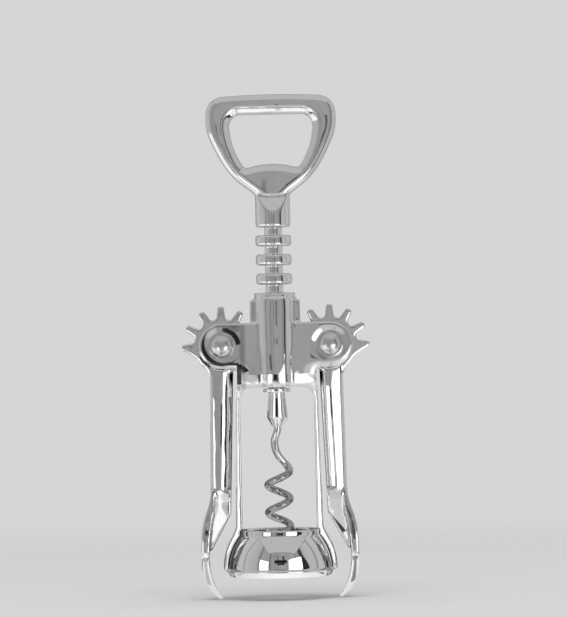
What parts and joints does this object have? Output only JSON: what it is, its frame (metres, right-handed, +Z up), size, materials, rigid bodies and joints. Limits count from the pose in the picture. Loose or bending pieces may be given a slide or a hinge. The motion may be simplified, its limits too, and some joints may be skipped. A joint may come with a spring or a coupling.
{
  "type": "wing corkscrew",
  "caption": "Chrome wing corkscrew: geared levers raise a ringed rack and worm through a bottle bell; the top loop is a cap lifter that turns the worm.",
  "frame": {"origin": "centre of the bell's mouth, in the plane of its rim, on the spindle's axis", "axes": "+Z up along the spindle to the handle, +X to the right seen from the front, and the front, with the domed rivet heads, faces -Y"},
  "size_m": [0.0648, 0.038, 0.1737],
  "materials": {
    "chrome_casting": "bright chrome plate on a zinc casting",
    "rivet_steel": "bright plated steel",
    "worm_steel": "drawn steel wire, thinly plated"
  },
  "bodies": {
    "frame": {"frame": "chrome_casting", "bottle_bell": "chrome_casting", "left_pivot_rivet": "rivet_steel", "right_pivot_rivet": "rivet_steel"},
    "left_lever": {"left_lever": "chrome_casting"},
    "right_lever": {"right_lever": "chrome_casting"},
    "rack": {"rack_sleeve": "chrome_casting"},
    "handle": {"opener_handle": "chrome_casting", "spindle_rod": "rivet_steel", "worm_collar": "chrome_casting", "worm": "worm_steel"}
  },
  "joints": [
    {"name": "left_lever_pivot", "type": "hinge", "parent": "frame", "child": "left_lever", "pos_m": [-0.0187, 0, 0.0795], "axis": [0, 1, 0], "range_deg": [0, 150]},
    {"name": "right_lever_pivot", "type": "hinge", "parent": "frame", "child": "right_lever", "pos_m": [0.0187, 0, 0.0795], "axis": [0, -1, 0], "range_deg": [0, 150]},
    {"name": "rack_slide", "type": "slide", "parent": "frame", "child": "rack", "axis": [0, 0, -1], "range_m": [0, 0.0325]},
    {"name": "handle_spin", "type": "hinge", "parent": "rack", "child": "handle", "pos_m": [0, 0, 0.125], "axis": [0, 0, 1], "continuous": true}
  ],
  "couplings": [
    {"joint": "right_lever_pivot", "follows": "left_lever_pivot", "ratio": 1},
    {"joint": "rack_slide", "follows": "left_lever_pivot", "m_per_rad": 0.0124}
  ]
}
